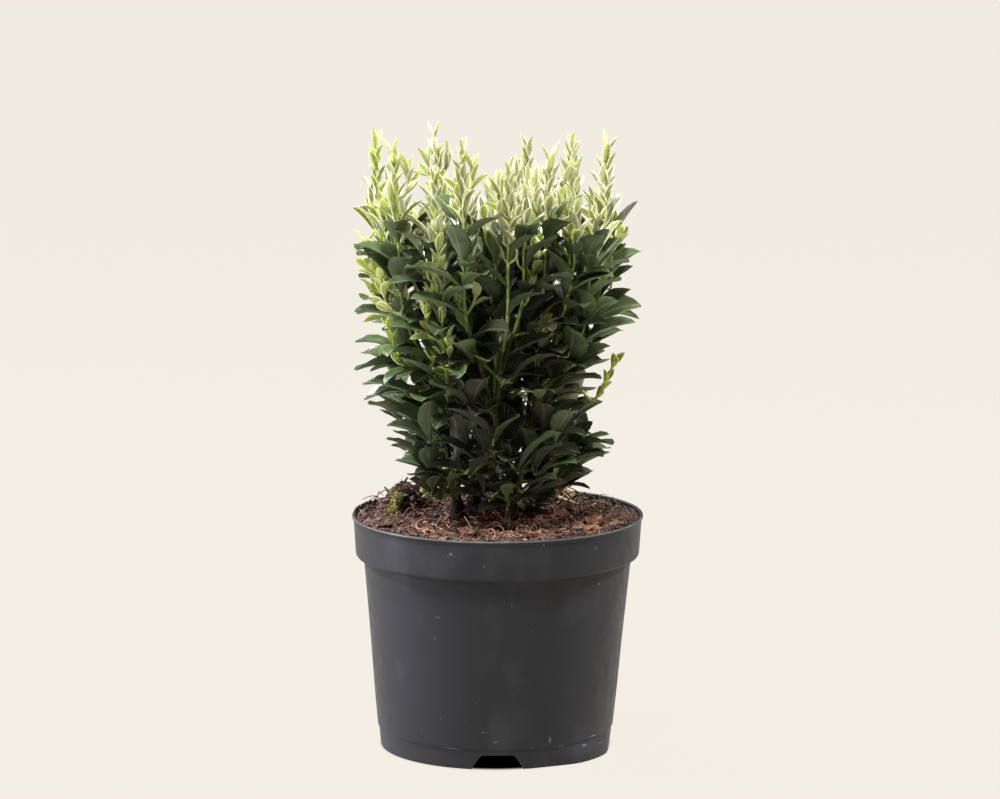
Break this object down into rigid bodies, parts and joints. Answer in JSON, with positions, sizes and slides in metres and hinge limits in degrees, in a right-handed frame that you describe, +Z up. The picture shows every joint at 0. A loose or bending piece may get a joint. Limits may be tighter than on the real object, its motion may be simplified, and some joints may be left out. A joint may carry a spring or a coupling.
{
  "type": "potted variegated japanese spindle shrub",
  "caption": "Young bushy evergreen shrub with cream-edged shoots over dark glossy leaves, in a round black nursery pot filled with coarse potting mix.",
  "frame": {"origin": "on the pot's axis, in the plane that the pot stands on", "axes": "+Z up along the pot's axis, -Y towards the picture's camera, +X to its right"},
  "size_m": [0.19, 0.19, 0.4059],
  "materials": {
    "pot_plastic": "thin moulded polypropylene, satin, lightly scuffed",
    "potting_mix": "damp coarse peat, coir fibre and bark chips",
    "bark": "thin grey-brown bark",
    "green_wood": "smooth green young wood",
    "foliage": "leathery glossy leaves, cream-edged on young shoots"
  },
  "bodies": {
    "root": {"pot": "pot_plastic", "potting_mix": "potting_mix", "stem_1": "bark", "stem_2": "bark", "stem_3": "bark", "stem_4": "bark", "stem_5": "bark", "bough_outer_1": "green_wood", "bough_outer_2": "green_wood", "bough_outer_3": "green_wood", "bough_outer_4": "green_wood", "bough_outer_5": "green_wood", "bough_outer_6": "green_wood", "bough_outer_7": "green_wood", "bough_outer_8": "green_wood", "bough_inner_1": "green_wood", "bough_inner_2": "green_wood", "bough_inner_3": "green_wood", "foliage_outer_1": "foliage", "foliage_outer_2": "foliage", "foliage_outer_3": "foliage", "foliage_outer_4": "foliage", "foliage_outer_5": "foliage", "foliage_outer_6": "foliage", "foliage_outer_7": "foliage", "foliage_outer_8": "foliage", "foliage_inner_1": "foliage", "foliage_inner_2": "foliage", "foliage_inner_3": "foliage"}
  },
  "joints": []
}
